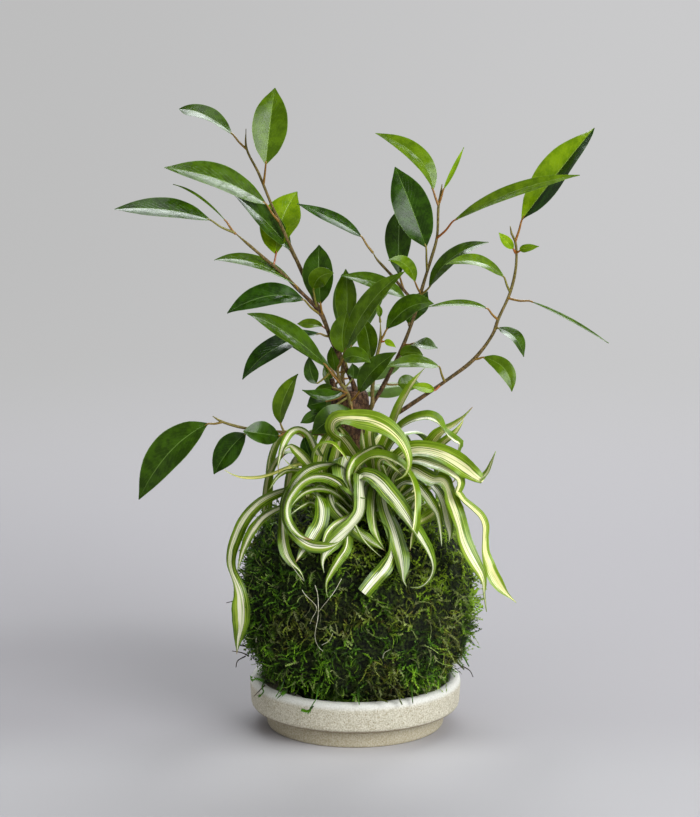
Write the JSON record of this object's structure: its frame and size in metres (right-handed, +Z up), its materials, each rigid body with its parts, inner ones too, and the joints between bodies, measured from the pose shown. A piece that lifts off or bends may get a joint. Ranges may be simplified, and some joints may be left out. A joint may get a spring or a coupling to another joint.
{
  "type": "kokedama moss ball plant",
  "caption": "Moss ball plant in a round stoneware saucer: a short-trunked fig with long leafy stems and a curly striped spider plant hanging over the moss.",
  "frame": {"origin": "centre of the saucer's flat underside", "axes": "+Z up, -Y towards the front, where the spider plant hangs over the ball, +X to the right as seen from the front"},
  "size_m": [0.2925, 0.1695, 0.3889],
  "materials": {
    "stoneware": "matt speckled",
    "soil": "rough",
    "thread": "matt",
    "moss": "rough",
    "bark": "rough",
    "fig_leaf": "glossy",
    "strap_leaf": "satin"
  },
  "bodies": {
    "root": {"saucer": "stoneware", "soil_ball": "soil", "binding_thread": "thread", "moss_cover": "moss", "fig_trunk": "bark", "fig_stem_tall_left": "fig_leaf", "fig_stem_low_left": "fig_leaf", "fig_stem_front": "fig_leaf", "fig_stem_middle": "fig_leaf", "fig_stem_tall_right": "fig_leaf", "fig_stem_outer_right": "fig_leaf", "fig_stem_back": "fig_leaf", "spider_plant_front": "strap_leaf", "spider_plant_back": "strap_leaf"}
  },
  "joints": []
}
